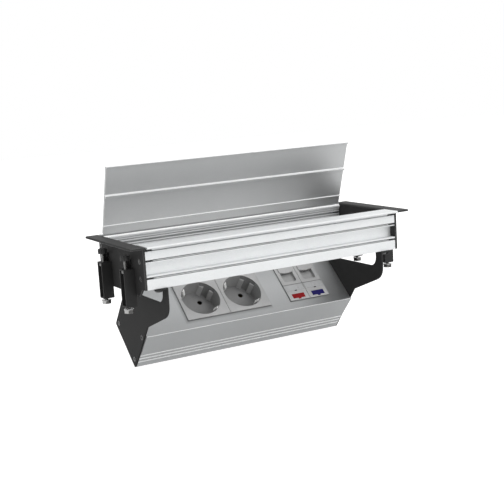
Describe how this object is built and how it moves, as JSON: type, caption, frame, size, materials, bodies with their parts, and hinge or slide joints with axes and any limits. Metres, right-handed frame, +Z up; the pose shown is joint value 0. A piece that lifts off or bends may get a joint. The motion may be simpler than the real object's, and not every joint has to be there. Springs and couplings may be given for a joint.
{
  "type": "hinged desk socket block",
  "caption": "Table-top socket block with a hinged lid over a cable well, screw clamps, and a tilted profile below with mains and data sockets.",
  "frame": {"origin": "middle of the cut-out in the table top, on the table's upper surface, which is the underside of the flanges", "axes": "+X to the right along the rails, +Y from the front rail to the hinge rail, +Z up out of the table"},
  "size_m": [0.288, 0.1271, 0.1891],
  "materials": {
    "black_sheet": "fine matt powder coat",
    "black_steel": "matt black lacquer",
    "black_screws": "black oxide",
    "bright_aluminium": "satin anodised, natural",
    "lid_aluminium": "satin anodised, natural",
    "profile_aluminium": "satin anodised, natural",
    "zinc": "bright zinc plated",
    "socket_grey": "fine matt moulding",
    "data_grey": "fine matt moulding",
    "label_grey": "semi gloss",
    "base_dark": "matt",
    "brass": "plain",
    "clip_steel": "nickel plated",
    "jack_black": "matt",
    "red": "semi gloss",
    "blue": "semi gloss",
    "rubber": "soft black"
  },
  "bodies": {
    "frame": {"left_end_plate": "black_sheet", "right_end_plate": "black_sheet", "front_rail": "bright_aluminium", "rear_rail": "bright_aluminium", "frame_screws": "black_screws", "left_front_bracket": "black_steel", "left_rear_bracket": "black_steel", "right_front_bracket": "black_steel", "right_rear_bracket": "black_steel", "bracket_rivets": "black_screws", "clamp_nuts": "zinc", "left_side_plate": "black_sheet", "right_side_plate": "black_sheet", "tab_screws": "black_screws", "socket_profile": "profile_aluminium", "profile_screws": "black_screws", "left_mains_insert": "socket_grey", "right_mains_insert": "socket_grey", "left_mains_base": "base_dark", "right_mains_base": "base_dark", "left_earth_clip": "clip_steel", "right_earth_clip": "clip_steel", "left_contacts": "brass", "right_contacts": "brass", "left_data_frame": "data_grey", "right_data_frame": "data_grey", "left_jack": "jack_black", "right_jack": "jack_black", "left_label_cover": "label_grey", "right_label_cover": "label_grey", "red_marker": "red", "blue_marker": "blue", "mains_cable_bush": "rubber", "data_cable_bush": "rubber"},
    "lid": {"lid": "lid_aluminium"},
    "left_front_pad": {"left_front_clamp_pad": "rubber"},
    "left_front_screw": {"left_front_clamp_screw": "zinc"},
    "left_rear_pad": {"left_rear_clamp_pad": "rubber"},
    "left_rear_screw": {"left_rear_clamp_screw": "zinc"},
    "right_front_pad": {"right_front_clamp_pad": "rubber"},
    "right_front_screw": {"right_front_clamp_screw": "zinc"},
    "right_rear_pad": {"right_rear_clamp_pad": "rubber"},
    "right_rear_screw": {"right_rear_clamp_screw": "zinc"},
    "left_shutter": {"left_shutter": "data_grey"},
    "right_shutter": {"right_shutter": "data_grey"}
  },
  "joints": [
    {"name": "lid_hinge", "type": "hinge", "parent": "frame", "child": "lid", "pos_m": [0, 0.0454, 0], "axis": [1, 0, 0], "range_deg": [-23.6, 71.4]},
    {"name": "left_front_pad_slide", "type": "slide", "parent": "frame", "child": "left_front_pad", "axis": [0, 0, 1], "range_m": [-0.0071, 0.0015]},
    {"name": "left_front_screw_turn", "type": "hinge", "parent": "left_front_pad", "child": "left_front_screw", "pos_m": [-0.138, -0.0235, -0.02], "axis": [0, 0, 1], "range_deg": [-5114, 1082]},
    {"name": "left_rear_pad_slide", "type": "slide", "parent": "frame", "child": "left_rear_pad", "axis": [0, 0, 1], "range_m": [-0.0071, 0.0015]},
    {"name": "left_rear_screw_turn", "type": "hinge", "parent": "left_rear_pad", "child": "left_rear_screw", "pos_m": [-0.138, 0.0275, -0.02], "axis": [0, 0, 1], "range_deg": [-5114, 1082]},
    {"name": "right_front_pad_slide", "type": "slide", "parent": "frame", "child": "right_front_pad", "axis": [0, 0, 1], "range_m": [-0.0071, 0.0015]},
    {"name": "right_front_screw_turn", "type": "hinge", "parent": "right_front_pad", "child": "right_front_screw", "pos_m": [0.138, -0.0235, -0.02], "axis": [0, 0, 1], "range_deg": [-5114, 1082]},
    {"name": "right_rear_pad_slide", "type": "slide", "parent": "frame", "child": "right_rear_pad", "axis": [0, 0, 1], "range_m": [-0.0071, 0.0015]},
    {"name": "right_rear_screw_turn", "type": "hinge", "parent": "right_rear_pad", "child": "right_rear_screw", "pos_m": [0.138, 0.0275, -0.02], "axis": [0, 0, 1], "range_deg": [-5114, 1082]},
    {"name": "left_shutter_slide", "type": "slide", "parent": "frame", "child": "left_shutter", "axis": [0, 0.7431, 0.6691], "range_m": [0, 0.0082]},
    {"name": "right_shutter_slide", "type": "slide", "parent": "frame", "child": "right_shutter", "axis": [0, 0.7431, 0.6691], "range_m": [0, 0.0082]}
  ],
  "couplings": [
    {"joint": "left_front_screw_turn", "follows": "left_front_pad_slide", "rad_per_m": 12566},
    {"joint": "left_rear_screw_turn", "follows": "left_rear_pad_slide", "rad_per_m": 12566},
    {"joint": "right_front_screw_turn", "follows": "right_front_pad_slide", "rad_per_m": 12566},
    {"joint": "right_rear_screw_turn", "follows": "right_rear_pad_slide", "rad_per_m": 12566}
  ]
}
